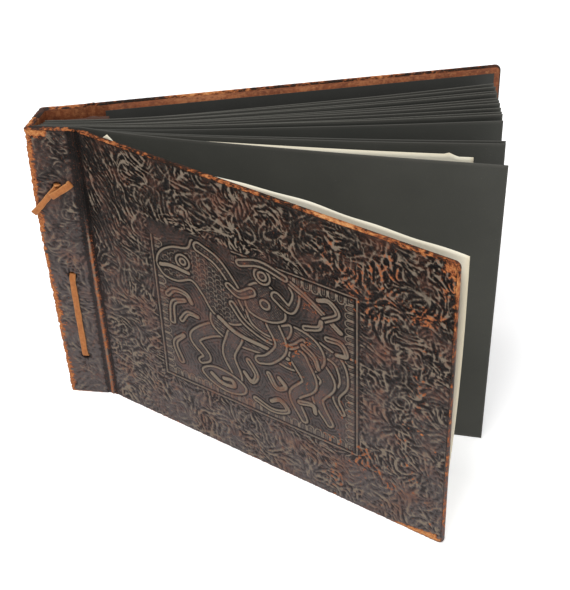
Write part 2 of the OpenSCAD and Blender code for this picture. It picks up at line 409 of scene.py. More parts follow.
# A plain horse and rider of no one in particular, drawn back to front.
figures = [
    ("limb", [(184, 128), (198, 122), (202, 106), (196, 92), (201, 80)], 9, 3, "mane"),  # tail
    ("limb", [(176, 118), (190, 102), (182, 84), (191, 66)], 14, 5, "plain"),
    ("limb", [(112, 112), (96, 104), (84, 92), (93, 80), (88, 74)], 12, 4.5, "plain"),
    ("outline", [(100, 122), (101, 110), (116, 102), (142, 103), (162, 100), (180, 106), (188, 119),
                 (182, 132), (166, 137), (146, 132), (124, 134), (108, 132)], 0, 0, "hatch"),
    ("limb", [(168, 112), (176, 94), (164, 78), (171, 60)], 14, 5, "plain"),
    ("limb", [(118, 108), (112, 90), (118, 72), (110, 60)], 12, 5, "plain"),
    ("outline", [(58, 147), (63, 138), (74, 137), (86, 142), (94, 134), (102, 122), (116, 118),
                 (128, 126), (124, 142), (112, 156), (100, 166), (90, 176), (85, 168), (72, 164),
                 (62, 157)], 0, 0, "scales"),
    ("limb", [(94, 172), (108, 166), (120, 152), (129, 136)], 7, 5, "mane"),
    ("ring", [(80, 155)], 5.4, 0, "plain"),
    ("ring", [(80, 155)], 2.4, 0, "plain"),
    ("limb", [(61, 146), (70, 148), (84, 147)], 1.6, 1.2, "plain"),
    ("limb", [(118, 136), (128, 124), (146, 117), (162, 119), (172, 128)], 4.0, 3.0, "mane"),  # saddle
    ("limb", [(106, 120), (120, 112), (140, 110), (160, 108)], 1.8, 1.4, "plain"),
    ("limb", [(172, 124), (180, 118), (183, 110)], 3.2, 1.8, "hatch"),
    ("outline", [(130, 138), (133, 126), (146, 121), (160, 125), (163, 137), (150, 132)], 0, 0, "stipple"),
    ("limb", [(149, 132), (155, 116), (146, 102), (137, 97)], 10, 6, "stipple"),
    ("outline", [(131, 136), (129, 150), (136, 160), (148, 162), (157, 153), (159, 140), (146, 133)],
     0, 0, "stipple"),
    ("limb", [(153, 156), (163, 150), (168, 162), (164, 170)], 7, 4, "hatch"),
    ("limb", [(160, 173), (178, 163), (200, 147)], 2.6, 2.0, "plain"),
    ("limb", [(134, 152), (124, 146), (116, 150)], 6, 4, "hatch"),
    ("ring", [(143, 168)], 6, 0, "plain"),
    ("limb", [(126, 172), (142, 177), (160, 173)], 4.6, 4.0, "hatch"),
    ("outline", [(88, 66), (96, 58), (110, 55), (122, 59), (124, 66), (114, 72), (98, 73)], 0, 0, "plain"),
    ("limb", [(96, 66), (104, 61), (114, 62), (113, 67), (106, 66)], 1.8, 1.4, "plain"),
    ("limb", [(132, 60), (146, 56), (158, 61), (152, 68), (145, 64)], 3.0, 1.6, "plain"),
    ("limb", [(66, 100), (68, 116), (78, 122)], 4.0, 2.0, "plain"),
    ("limb", [(70, 66), (66, 80), (74, 90)], 4.0, 2.0, "plain"),
    ("limb", [(188, 152), (198, 160), (192, 168), (184, 166)], 3.0, 1.6, "plain"),
    ("limb", [(64, 122), (70, 128), (80, 128), (84, 122)], 3.2, 1.6, "hatch"),
    ("limb", [(128, 92), (134, 82), (130, 74), (124, 80)], 3.0, 1.4, "plain"),
    ("limb", [(144, 88), (150, 78), (157, 82), (152, 88)], 2.6, 1.4, "plain"),
    ("limb", [(190, 138), (200, 138), (204, 130), (197, 128)], 3.0, 1.5, "plain"),
    ("limb", [(174, 140), (184, 144), (186, 150)], 3.2, 1.6, "hatch"),
    ("ring", [(143, 168)], 3.2, 0, "plain"),
    ("ring", [(144, 146)], 3.6, 0, "plain"),
    ("limb", [(168, 74), (178, 76), (180, 70)], 2.6, 1.5, "plain"),
    ("limb", [(74, 104), (80, 112), (88, 112)], 3.0, 1.6, "plain"),
]


def embossed():
    height = np.zeros(ps.shape)
    nearest = np.full(ps.shape, 1e9)
    for kind, points, first, last, fill in figures:
        if kind == "outline":
            side = outlineShape(points)
        elif kind == "limb":
            side = limbShape(points, first, last)
        else:
            side = ringShape(points[0], first)
        nearest = np.minimum(nearest, side)
        band = panel["band"]
        crest = panel["height"] * np.sqrt(np.clip(1 - (side / band) ** 2, 0, 1))
        inner = -side - band
        trough = -0.3 * np.sin(pi * np.clip(inner / 1.1, 0, 1))
        echo = 0.22 * np.sin(2 * pi * (inner - 0.9) / 1.9) * (inner > 1.0) * np.exp(-inner / 3.0)
        body = 0.1 * smooth(inner) + trough + echo + fills[fill]() * smooth((inner - 1.2) / 1.2)
        groove = -panel["depth"] * np.sin(pi * np.clip((side - band) / panel["recess"], 0, 1))
        shape = np.where(side < -band, body, np.where(side < band, crest, groove))
        height = np.where(side < band + panel["recess"], shape, height)
    # thin lines echo round the figures
    height += np.where(nearest > 2.1, 0.24 * np.cos(2 * pi * nearest / 2.6) * np.exp(-nearest / 8), 0)
    left, low, right, high = panel["frame"]
    away = np.stack([ps - left, right - ps, pz - low, high - pz])
    across = away.min(0)
    run = np.where(away.argmin(0) < 2, pz - low, ps - left)
    # a row of arches that open on the frame line, each with a smaller one inside
    arch = np.hypot((run % panel["scallop"]) - panel["scallop"] / 2, np.maximum(across - 4.4, 0))
    loop = np.minimum(np.abs(arch - 2.4), np.abs(arch - 0.7) * 1.3)
    trim = np.where(across > 0.4, 0.6 * np.clip(1 - (loop / 0.55) ** 2, 0, 1) - 0.3 * (loop > 0.65), 0)
    trim = trim * (arch < 3.2)
    line = np.abs(across + 1.6)
    trim += 0.6 * np.clip(1 - (line / 0.7) ** 2, 0, 1) - 0.45 * np.exp(-(((line - 1.4) / 0.6) ** 2))
    near = (across > -3.4) & (across < 7.6) & (nearest > 1.6)
    headGap = (ps < 120) & (pz > 168)  # the horse's head rises over the frame here
    height = np.where(near & ~headGap, trim, height)
    return blurred(np.pad(height, 4, mode="edge"), 0.34 / panelCell)[4:-4, 4:-4], nearest


panelHeight, panelNear = embossed()
print("embossing: %d figures drawn" % len(figures))

# inside 0, outside 1, over a few millimetres round the frame and the head
left, low, right, high = panel["frame"]
toFrame = np.maximum.reduce([left - coverS, coverS - right, low - zGrid, zGrid - high])
nearPicture = Picture(panelNear, panel["from"][0], panel["from"][1], panelCell)
inPanel = ((coverS > panel["from"][0]) & (coverS < panel["to"][0])
           & (zGrid > panel["from"][1]) & (zGrid < panel["to"][1]))
toFigure = np.where(inPanel, nearPicture(coverS, zGrid), 99)
openLeather = smooth((np.minimum(toFrame, toFigure) - 2.2) / 2.5)
reliefPicture = Picture(np.pad(panelHeight, 1), panel["from"][0] - panelCell,
                        panel["from"][1] - panelCell, panelCell)
coarseRelief = np.where(inPanel, reliefPicture(coverS, zGrid), 0)

# How the skin stands and wears.

lace = {"hole": 14.0, "pitch": 74.0, "width": 4.3, "thick": 1.5, "pit": 2.9}
holeHeights = [coverH / 2 - 4 + k * lace["pitch"] for k in (-1, 0, 1)]


def lowerPart(z):
    return 1 - smooth((z - 0.58 * coverH) / (0.16 * coverH))


def hingeShape(s, z, worn):
    # the groove between strip and cover; the front one has a rubbed ridge over its lower part
    d = s - stripW
    low = lowerPart(z) if worn else 0 * z
    ridge = 0.95 * np.exp(-(((d + 1.1) / 1.25) ** 2)) * low
    valleys = -1.25 * np.exp(-(((d - 1.5) / 1.15) ** 2)) - 0.55 * np.exp(-(((d + 4.3) / 1.4) ** 2))
    lines = 0.22 * np.cos(2 * pi * (d + 0.5 * np.sin(z / 17)) / 1.7) * np.exp(-((d / 4.6) ** 2)) * (1 - low)
    return ridge + valleys + lines - 0.35 * np.exp(-((d / 4.5) ** 2))


def holePits(s, z):
    pits = 0 * s
    for height in holeHeights:
        r = np.hypot(s - lace["hole"], (z - height) * 0.9)
        pits = pits - 3.4 * smooth((lace["pit"] - r) / 0.8) - 0.35 * np.exp(-((r / 4.5) ** 2))
    return pits


# How far the rubbing reaches in from each edge, first near the strip and then what the fore edge adds.
wearing = {
    "spineEdge": 4.2, "spineCorner": 13.0, "top": (0.2, 1.3), "bottom": (0.4, 5.6), "fore": (0.3, 0.9),
    "foreCorner": 14.0, "pictureSpot": (172.0, 118.0), "pictureSpotSize": 22.0,
}


def skinFields(crinkled, seed, worn):
    # height and wear over the whole skin, as pictures
    rng = np.random.default_rng(seed)
    fine, patch = cloud(sGrid.shape, 0.8, rng), cloud(sGrid.shape, 7.0, rng)
    edgeFade = smooth(np.minimum.reduce([zGrid, coverH - zGrid, sHigh - 1 - sGrid]) / 4)
    onCover = leather["coverHeight"] if worn else leather["backHeight"]
    tall = np.where(coverS > 0, onCover, leather["stripHeight"])
    opened = openLeather if worn else 1.0
    speckle = cloud(sGrid.shape, 0.4, rng)
    fold = crinkled * tall * (0.35 + 0.65 * edgeFade) * smooth(np.abs(coverS) / 5)
    height = fold * (opened * 0.85 + 0.15)
    if worn:
        height = height + coarseRelief * (1 - openLeather)
        # lowered a little where the creases fan out near the hinge top, so that more of the folds there
        # take the painted shade of the hollows
        height = height - 0.11 * fan
    height = height + hingeShape(sGrid, zGrid, worn) + holePits(sGrid, zGrid)
    top, bottom, fore = coverH - zGrid, zGrid, sHigh - 1 - sGrid
    # the long edge of the spine, and its top corner most
    edge = smooth((wearing["spineEdge"] + 0.4 * fine + 0.7 * speckle + 0.5 * patch - sGrid) / 2.6)
    wear = 0.66 * edge * smooth((sGrid + 3.5 + fine) / 2)
    spineCorner = smooth((wearing["spineCorner"] + 3 * patch - np.hypot(sGrid, top)) / 4)
    wear = np.maximum(wear, 0.8 * spineCorner * smooth((7.5 - top + 0.8 * fine + speckle) / 3))
    # the cover's edges, more and more towards the fore edge
    toFore = smooth((coverS - 205) / 65)
    upper = smooth((zGrid - 90) / 90)
    for key, away, more in (("top", top, toFore), ("bottom", bottom, toFore ** 2), ("fore", fore, upper)):
        reach = wearing[key][0] + wearing[key][1] * more
        wear = np.maximum(wear, 0.9 * smooth((reach + 0.8 * patch + 0.7 * fine - away) / 1.2))
    foreCorner = wearing["foreCorner"] + 3 * patch + 3.5 * speckle + 2 * fine
    cornerWorn = smooth((foreCorner - np.hypot(fore, top)) / 11)
    wear = np.maximum(wear, 0.74 * cornerWorn)
    onRidge = np.exp(-(((coverS + 1.0) / 1.5) ** 2)) * np.clip(0.42 + 0.14 * fine + 0.14 * speckle, 0, 1)
    wear = np.maximum(wear, lowerPart(zGrid) * onRidge)
    # high spots, most of all towards the fore edge and on one place of the picture
    rubbed = smooth((coverS - 120) / 140) * 0.5
    fromSpot = np.hypot(coverS - wearing["pictureSpot"][0], zGrid - wearing["pictureSpot"][1])
    rubbed = rubbed + 0.32 * np.exp(-((fromSpot / wearing["pictureSpotSize"]) ** 2))
    spots = smooth((crinkled - 1.05 + 0.35 * patch + 0.28 * fine) / 0.5) * (0.12 + rubbed)
    wear = np.maximum(wear, np.where(coverS > 4, spots, 0.3 * spots))
    return Picture(height, sLow, zLow), Picture(np.clip(wear, 0, 1), sLow, zLow)


frontHeight, frontWear = skinFields(frontCrinkle, 5, True)
backHeight, backWear = skinFields(backCrinkle, 6, False)

# Shader maths.


class Value:
    # a number socket that adds and multiplies like a number
    def __init__(self, paint, socket):
        self.paint, self.socket = paint, socket

    def maths(self, operation, first, second=0.0):
        node = self.paint.node("ShaderNodeMath", {"operation": operation}, {0: first, 1: second})
        return Value(self.paint, node.outputs[0])

    def __add__(self, other):
        return self.maths("ADD", self, other)

    __radd__ = __add__

    def __mul__(self, other):
        return self.maths("MULTIPLY", self, other)

    __rmul__ = __mul__

    def __sub__(self, other):
        return self.maths("SUBTRACT", self, other)

    def __rsub__(self, other):
        return self.maths("SUBTRACT", other, self)

    def __truediv__(self, other):
        return self.maths("DIVIDE", self, other)

    def __pow__(self, other):
        return self.maths("POWER", self, other)

    def held(self, low=0.0, high=1.0):
        return self.maths("MINIMUM", self.maths("MAXIMUM", self, low), high)


class Paint:
    # one material; node() adds any node
    def __init__(self, name):
        self.material = bpy.data.materials.new(name)
        self.material.use_nodes = True
        self.tree = self.material.node_tree
        self.tree.nodes.clear()

    def node(self, kind, settings=None, sockets=None):
        node = self.tree.nodes.new(kind)
        for key, value in (settings or {}).items():
            if key == "stops":
                while len(node.color_ramp.elements) < len(value):
                    node.color_ramp.elements.new(0.5)
                for element, (position, colour) in zip(node.color_ramp.elements, value):
                    element.position, element.color = position, (*colour, 1)
            else:
                setattr(node, key, value)
        for key, value in (sockets or {}).items():
            if isinstance(value, Value):
                self.tree.links.new(value.socket, node.inputs[key])
            elif isinstance(value, bpy.types.NodeSocket):
                self.tree.links.new(value, node.inputs[key])
            else:
                node.inputs[key].default_value = value
        return node

    def read(self, name, output="Fac"):
        node = self.node("ShaderNodeAttribute", {"attribute_name": name})
        return Value(self, node.outputs[output]) if output == "Fac" else node.outputs[output]

    def objectPlace(self):
        # the place on a carried-over part, in millimetres
        place = self.node("ShaderNodeTexCoord").outputs["Object"]
        scaled = self.node("ShaderNodeVectorMath", {"operation": "SCALE"}, {0: place, "Scale": 1000.0})
        return scaled.outputs[0]

    def noise(self, place, scale, detail=3.0, roughness=0.55):
        sockets = {"Vector": place, "Scale": scale, "Detail": detail, "Roughness": roughness}
        node = self.node("ShaderNodeTexNoise", None, sockets)
        return Value(self, node.outputs["Fac"])

    def pebbles(self, place, scale):
        node = self.node("ShaderNodeTexVoronoi", {"feature": "DISTANCE_TO_EDGE"},
                         {"Vector": place, "Scale": scale})
        return Value(self, node.outputs["Distance"])

    def mix(self, factor, first, second):
        node = self.node("ShaderNodeMix", {"data_type": "RGBA"}, {0: factor})
        for socket, colour in ((node.inputs[6], first), (node.inputs[7], second)):
            if isinstance(colour, bpy.types.NodeSocket):
                self.tree.links.new(colour, socket)
            else:
                socket.default_value = (*colour, 1)
        return node.outputs[2]

    def finish(self, colour, roughness, height=None, bump=0.0002, **fixed):
        sockets = {"Base Color": colour, "Roughness": roughness}
        if height is not None:
            settings = {"Height": height, "Distance": bump, "Strength": 1.0}
            sockets["Normal"] = self.node("ShaderNodeBump", None, settings).outputs[0]
        sockets.update({key.replace("_", " "): value for key, value in fixed.items()})
        shader = self.node("ShaderNodeBsdfPrincipled", None, sockets)
        self.node("ShaderNodeOutputMaterial", None, {"Surface": shader.outputs[0]})
        return self.material


leatherLook = {
    # the hollow colour is painted shade, the ridge colour a painted highlight, and the grey flat colour a
    # painted reflection
    "valley": (0.0035, 0.0026, 0.0022), "ground": (0.017, 0.0115, 0.0085),
    "sheenGround": (0.090, 0.075, 0.073), "ridge": (0.182, 0.145, 0.108),
    "patch": (0.130, 0.046, 0.026), "rust": (0.27, 0.075, 0.025),
    "rubbed": (0.42, 0.165, 0.056), "bare": (0.60, 0.31, 0.135), "rough": 0.46,
}


def leatherPaint(name, redness=0.5):
    look = leatherLook
    p = Paint(name)
    place = p.read("place", "Vector")
    apart = p.node("ShaderNodeSeparateXYZ", None, {0: place})
    along, upward = Value(p, apart.outputs[0]), Value(p, apart.outputs[1])
    relief, wear = p.read("relief"), p.read("wear")
    broad, mottle = p.noise(place, 0.045, 4), p.noise(place, 0.35, 4, 0.65)
    grain, speck = p.noise(place, 2.2, 3, 0.6), p.noise(place, 0.95, 3, 0.7)
    # painted reflection: the flats are painted a sheen grey towards the bottom and on the strip, and stay
    # near black above
    onStrip = ((stripW - along) / 6).held()
    sheenBelow = (1.2 - upward / 165 + (broad - 0.5) * 1.3 + onStrip * 0.4).held()
    flats = p.mix(sheenBelow * 0.9, look["ground"], look["sheenGround"])
    # painted shade: the hollows are painted near black, lifted a little by the painted reflection below
    hollows = p.mix(sheenBelow * 0.3, look["valley"], look["sheenGround"])
    foldShade = 0.13 - sheenBelow * 0.13  # painted shade: more of each fold is painted dark where the painted sheen is weaker, most of all above
    colour = p.mix(((relief - foldShade - 0.13) * 3.5).held(), hollows, flats)
    # painted highlight: the crests of the folds and of the embossing are painted a light grey-tan sheen
    crest = ((relief - 0.6) * 3.8 + (mottle - 0.5) * 1.3 + (speck - 0.5) * 0.9).held()
    colour = p.mix(crest * 0.95, colour, look["ridge"])
    red = ((broad - 0.5) * 4.5 + (mottle - 0.5) * 2.2 + redness - 0.45).held()
    colour = p.mix((red * (relief * 1.1 + 0.05).held() * 0.7).held(), colour, look["patch"])
    rub = wear * 1.25 + (grain - 0.5) * 0.8 + (speck - 0.5) * 2.0 + (mottle - 0.5) * 0.9 - 0.12
    colour = p.mix(((rub - 0.12) * 2.4).held(), colour, look["rust"])
    colour = p.mix(((rub - 0.5) * 2.8).held(), colour, look["rubbed"])
    colour = p.mix(((rub - 0.95) * 3.0).held() * 0.8, colour, look["bare"])
    pores = p.pebbles(place, 1.15)
    height = pores.held(0.0, 0.22) * 1.6 + grain * 0.7 + mottle * 0.5
    roughness = (mottle * 0.22 + wear * 0.25 + look["rough"] - 0.12).held(0.25, 0.9)
    return p.finish(colour, roughness, height, 0.00022, Specular_IOR_Level=0.07)


def turnedPaint(name):
    # the smooth inner side of the turned-in leather
    p = Paint(name)
    place = p.read("place", "Vector")
    wear = p.read("wear")
    broad, mottle, grain = p.noise(place, 0.08, 4), p.noise(place, 0.5, 4, 0.65), p.noise(place, 2.5, 3)
    colour = p.mix((broad * 1.6 - 0.3).held(), (0.085, 0.026, 0.013), (0.26, 0.075, 0.027))
    colour = p.mix(((mottle - 0.5) * 3 + wear * 0.9).held() * 0.6, colour, (0.46, 0.19, 0.075))
    colour = p.mix(((0.42 - mottle) * 5).held() * 0.7, colour, (0.03, 0.013, 0.009))
    return p.finish(colour, (mottle * 0.3 + 0.5).held(), grain + mottle, 0.00015, Specular_IOR_Level=0.2)


def clothPaint(name):
    # dark book cloth inside the hinge
    p = Paint(name)
    place = p.read("place", "Vector")
    weave = p.noise(place, 3.0, 2)
    broad = p.noise(place, 0.2, 3)
    colour = p.mix(broad, (0.05, 0.021, 0.013), (0.10, 0.036, 0.018))
    return p.finish(colour, 0.75, weave, 0.0001)


def paperPaint(name, dark, light, edge, fleck, fromObject=False, rough=0.86):
    p = Paint(name)
    place = p.objectPlace() if fromObject else p.read("place", "Vector")
    broad, fibre, dust = p.noise(place, 0.02, 4), p.noise(place, 1.4, 3, 0.7), p.noise(place, 0.9, 2)
    colour = p.mix((broad * 1.5 - 0.25 + (fibre - 0.5) * 0.5).held(), dark, light)
    if not fromObject:
        wear = p.read("wear")
        colour = p.mix((wear * (fibre * 1.2 + 0.2)).held(), colour, edge)
    colour = p.mix(((dust - 0.70) * 14).held() * 0.35, colour, fleck)
    roughness = (rough + (fibre - 0.5) * 0.1).held()
    return p.finish(colour, roughness, fibre + broad * 2, 0.00008, Specular_IOR_Level=0.3)


def lacePaint(name):
    p = Paint(name)
    place = p.read("place", "Vector")
    wear = p.read("wear")
    streak, grain = p.noise(place, 0.35, 3), p.noise(place, 2.4, 4, 0.7)
    colour = p.mix((streak * 1.8 - 0.4).held(), (0.25, 0.082, 0.022), (0.43, 0.165, 0.050))
    colour = p.mix(((grain - 0.52) * 4).held() * 0.55, colour, (0.22, 0.062, 0.018))
    colour = p.mix((wear * 0.8).held(), colour, (0.50, 0.235, 0.09))
    return p.finish(colour, (grain * 0.3 + 0.5).held(), grain + streak, 0.00015, Specular_IOR_Level=0.2)


def boardPaint(name):
    p = Paint(name)
    place = p.objectPlace()
    fibre, broad = p.noise(place, 1.2, 4), p.noise(place, 0.06, 3)
    colour = p.mix(fibre, (0.20, 0.14, 0.08), (0.34, 0.26, 0.16))
    return p.finish(p.mix(broad * 0.4, colour, (0.16, 0.11, 0.06)), 0.9, fibre, 0.0002)


coverLeather = leatherPaint("embossed_leather", 0.5)
backCoverLeather = leatherPaint("back_leather_finish", 0.4)
turnedLeather = turnedPaint("turned_in_leather")
hingeCloth = clothPaint("hinge_cloth")
leafPaper = paperPaint("leaf_paper_black", (0.036, 0.037, 0.032), (0.053, 0.053, 0.046),
                       (0.070, 0.068, 0.060), (0.16, 0.15, 0.13))
# painted shade: a darker copy of the leaf paper for the inner leaves of the block, for the shade between
# them
shadedLeafPaper = paperPaint("leaf_paper_inner", (0.021, 0.022, 0.019), (0.038, 0.038, 0.033),
                        (0.095, 0.092, 0.080), (0.16, 0.15, 0.13))
liningPaper = paperPaint("lining_paper_black", (0.030, 0.030, 0.027), (0.048, 0.048, 0.043),
                         (0.1, 0.1, 0.1), (0.13, 0.12, 0.11), True)
creamPaper = paperPaint("cream_paper_aged", (0.74, 0.69, 0.54), (0.86, 0.82, 0.69),
                        (0.64, 0.56, 0.40), (0.48, 0.38, 0.22))
thong = lacePaint("tan_thong")
boardFinish = boardPaint("bookboard")
print("materials made")

# Cover skins.

skin = {
    "pitch": 0.78, "backPitch": 0.95, "edgeRound": 1.4, "cornerRadius": 4.0, "turnIn": 15.0,
    "rimRows": 5, "pressed": 0.6,
}


def buildSkin(name, plan, heightOf, wearOf, pitch, hole):
    r, corner = skin["edgeRound"], skin["cornerRadius"]
    inner = corner - r
    foreS = stripW + coverW - r
    sMarks = [-spineW / 2, -2.0, 2.0, stripW - 5, stripW + 5]
    zMarks = [r, r + inner]
    if hole:
        sMarks += [stripW + hole["from"][0], stripW + hole["to"][0]]
        zMarks += [hole["from"][1], hole["to"][1]]
    sMarks += [foreS - inner, foreS]
    zMarks += [coverH - r - inner, coverH - r]
    s, z = steps(sMarks, pitch), steps(zMarks, pitch)
    fineHinge = steps([stripW - 5, stripW + 5], pitch * 0.5)
    s = np.unique(np.round(np.concatenate([s, fineHinge, steps([-2.0, 2.0], 0.4)]), 5))
    flatS, flatZ = np.meshgrid(s, z, indexing="ij")
    gridS, gridZ = flatS.copy(), flatZ.copy()
    for side, zMiddle in ((-1, r + inner), (1, coverH - r - inner)):
        # squares at the fore edge turn into quarter rounds
        x, y = (flatS - (foreS - inner)) / inner, side * (flatZ - zMiddle) / inner
        inCorner = (x > 0) & (y > 0)
        pull = np.where(inCorner, np.maximum(x, y) / np.maximum(np.hypot(x, y), 1e-9), 1)
        gridS = np.where(inCorner, foreS - inner + x * inner * pull, gridS)
        gridZ = np.where(inCorner, zMiddle + side * y * inner * pull, gridZ)
    keep = None
    if hole:
        middleS = (flatS[:-1, :-1] + flatS[1:, 1:]) / 2 - stripW
        middleZ = (flatZ[:-1, :-1] + flatZ[1:, 1:]) / 2
        keep = ~((middleS > hole["from"][0]) & (middleS < hole["to"][0])
                 & (middleZ > hole["from"][1]) & (middleZ < hole["to"][1]))

    def solid(sPlace, zPlace, depth):
        outer, inward, _ = plan.place(np.ravel(sPlace))
        depth = np.ravel(depth)[:, None]
        proud = plan.swell(np.ravel(sPlace), np.ravel(zPlace))
        flat = outer + inward * depth + proud * np.clip(1 - depth / spineT, 0, 1)
        return np.column_stack([flat, np.ravel(zPlace)])

    outward = heightOf(gridS, gridZ)
    spots = [solid(gridS, gridZ, -outward)]
    places = [triples(gridS, gridZ)]
    relief = [np.clip(0.5 + outward / 0.9, 0, 1).ravel()]
    wears = [wearOf(gridS, gridZ).ravel()]
    rows, columns = gridS.shape
    faces = [gridFaces(rows, columns, 0, keep)[:, ::-1]]
    index = np.arange(rows * columns).reshape(rows, columns)
    # once round the outline, from the spine along the bottom, up the fore edge and back on top
    loop = np.concatenate([index[:, 0], index[-1, 1:], index[-2::-1, -1]])
    loopS, loopZ, loopH = gridS.ravel()[loop], gridZ.ravel()[loop], outward.ravel()[loop]
    out = np.zeros((len(loop), 2))
    out[:rows, 1] = -1
    out[rows - 1:rows + columns - 1] = (1, 0)
    out[rows + columns - 2:] = (0, 1)
    for side, zMiddle in ((-1, r + inner), (1, coverH - r - inner)):
        x, y = loopS - (foreS - inner), side * (loopZ - zMiddle)
        turned = (x > 1e-6) & (y > 1e-6)
        out[turned] = np.column_stack([x, side * y])[turned] / np.hypot(x, y)[turned, None]
    # the edges are pressed thinner than the board
    pressed = skin["pressed"] * smooth((loopS - stripW - 8) / 10)
    deep = plan.thickness(loopS) - pressed
    roll = np.minimum(r, 0.46 * (deep + loopH))
    last = loop
    materialOf = [np.zeros(len(faces[0]), int)]
    count = rows * columns
    rng = np.random.default_rng(91)
    speckle = rng.standard_normal((2 * skin["rimRows"] + 5, len(loop)))
    rough = evened(blurred(speckle, 0.9)) * 0.7 + evened(blurred(speckle[:1].repeat(9, 0), 12))[:1] * 0.7
    # the top edges are rubbed more than the others, and the end of the strip most
    onTop, onFore = out[:, 1] > 0.7, out[:, 0] > 0.7
    rubbing = np.select([onTop & (loopS < 0.6 * stripW), onTop, onFore], [0.6, 0.44, 0.33], 0.2)
    for k in range(1, 2 * skin["rimRows"] + 1):
        half = skin["rimRows"]
        a = pi / 2 * (k if k <= half else 2 * half - k) / half
        offset = r * sin(min(a, pi / 2))
        near = k <= half
        depth = (roll * (1 - cos(a)) - loopH * cos(a)) if near else deep - roll * (1 - cos(a))
        spots.append(solid(loopS + out[:, 0] * offset, loopZ + out[:, 1] * offset, depth))
        places.append(np.column_stack([loopS + out[:, 0] * k, loopZ + out[:, 1] * k, depth]))
        relief.append(np.full(len(loop), 0.5))
        # the inner half of the rounded edge takes a third of the wear colour: it is rubbed less, and it is
        # painted darker as shade where the loose sheet shadows the top edge
        wears.append(np.clip(rubbing * (1 if near else 0.3) + 0.26 * rough[k], 0.02, 1))
        ring = count + np.arange(len(loop))
        faces.append(np.stack([last[:-1], ring[:-1], ring[1:], last[1:]], -1))
        materialOf.append(np.full(len(loop) - 1, 0 if k <= 2 * half - 1 else 1))
        last, count = ring, count + len(loop)
    for w, sink in ((0.3, 0), (8, 0), (skin["turnIn"] - r, 0), (skin["turnIn"] - r, 0.6)):
        innerS = np.minimum(loopS, foreS - w)
        innerZ = np.clip(loopZ, r + w, coverH - r - w)
        spots.append(solid(innerS, innerZ, plan.thickness(innerS) - sink))
        places.append(triples(innerS, innerZ, 9.0))
        relief.append(np.full(len(loop), 0.5))
        wears.append(np.clip(0.3 - w / 14 + 0.2 * rough[0], 0, 1))
        ring = count + np.arange(len(loop))
        faces.append(np.stack([last[:-1], ring[:-1], ring[1:], last[1:]], -1))
        materialOf.append(np.ones(len(loop) - 1, int))
        last, count = ring, count + len(loop)
    if hole:
        # a short lip round the opening for the embossed picture goes down behind it
        i0, i1 = np.searchsorted(s, [stripW + hole["from"][0] - 0.01, stripW + hole["to"][0] - 0.01])
        k0, k1 = np.searchsorted(z, [hole["from"][1] - 0.01, hole["to"][1] - 0.01])
        lip = np.concatenate([index[i0:i1, k0], index[i1, k0:k1], index[i1:i0:-1, k1], index[i0, k1:k0:-1]])
        lipS, lipZ = gridS.ravel()[lip], gridZ.ravel()[lip]
        spots.append(solid(lipS, lipZ, 0.7 - outward.ravel()[lip]))
        places.append(places[0][lip])
        relief.append(np.full(len(lip), 0.3))
        wears.append(np.zeros(len(lip)))
        ring = count + np.arange(len(lip))
        faces.append(np.stack([lip, ring, np.roll(ring, -1), np.roll(lip, -1)], -1))
        materialOf.append(np.zeros(len(lip), int))
    return makeMesh(name, np.concatenate(spots), np.concatenate(faces), [], np.concatenate(materialOf),
                    {"place": np.concatenate(places), "relief": np.concatenate(relief),
                     "wear": np.concatenate(wears)})


def planSpot(plan, s, depth=0.0):
    outer, inward, _ = plan.place(s)
    return outer[0] + inward[0] * depth


def blendOver(piece, plan, reach=5.0):
    start, end = planSpot(plan, stripW - reach, 1), planSpot(plan, stripW + reach, 1)
    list(start * mm)
    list(end * mm)
    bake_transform(piece)


def dress(piece, materials):
    for material in materials:
        piece.data.materials.append(material)
    return piece


frontSkin = dress(buildSkin("front_skin", frontPlan, frontHeight, frontWear, skin["pitch"], panel),
                  [coverLeather, turnedLeather])
blendOver(frontSkin, frontPlan)
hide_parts("front_leather", "front_strip_leather", "spine_leather")
backSkin = dress(buildSkin("back_skin", backPlan, backHeight, backWear, skin["backPitch"], None),
                 [backCoverLeather, turnedLeather])
blendOver(backSkin, backPlan)
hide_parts("back_leather", "back_strip_leather", "spine_leather")
print("skins: %d and %d faces" % (len(frontSkin.data.polygons), len(backSkin.data.polygons)))


def buildPanel():
    # the embossed picture, on a finer grid, whose rim tucks in behind the skin
    tuck = 0.5
    s = np.concatenate([[panel["from"][0] - tuck], ps[0], [panel["to"][0] + tuck]]) + stripW
    z = np.concatenate([[panel["from"][1] - tuck], pz[:, 0], [panel["to"][1] + tuck]])
    gridS, gridZ = np.meshgrid(s, z, indexing="ij")
    outward = frontHeight(gridS, gridZ)
    beyond = np.maximum.reduce([panel["from"][0] - gridS + stripW, gridS - stripW - panel["to"][0],
                                panel["from"][1] - gridZ, gridZ - panel["to"][1]])
    inside = 1 - smooth((beyond + 0.01) / tuck)
    fine, coarse = reliefPicture(gridS - stripW, gridZ), Picture(coarseRelief, sLow, zLow)(gridS, gridZ)
    openHere = Picture(openLeather, sLow, zLow)(gridS, gridZ)
    outward = outward + (fine - coarse) * (1 - openHere)
    depth = -outward + 0.35 * (1 - inside)
    outer, inward, _ = frontPlan.place(gridS.ravel())
    flat = outer + inward * depth.ravel()[:, None]
    shade = np.clip(0.40 + outward / 0.80, 0, 1)
    wear = frontWear(gridS, gridZ)
    wear = np.maximum(wear, smooth((outward - 0.62) / 0.4) * 0.16)
    return makeMesh("embossed_picture", np.column_stack([flat, gridZ.ravel()]),
                    gridFaces(*gridS.shape)[:, ::-1], [], None,
                    {"place": triples(gridS, gridZ), "relief": shade.ravel(), "wear": wear.ravel()})


picture = dress(buildPanel(), [coverLeather])
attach(picture, "front_cover")
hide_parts("front_leather")
print("embossed picture: %d faces" % len(picture.data.polygons))

liner = {"margin": 9.0, "ontoCover": 11.0, "thick": 0.3, "pitch": 1.5}


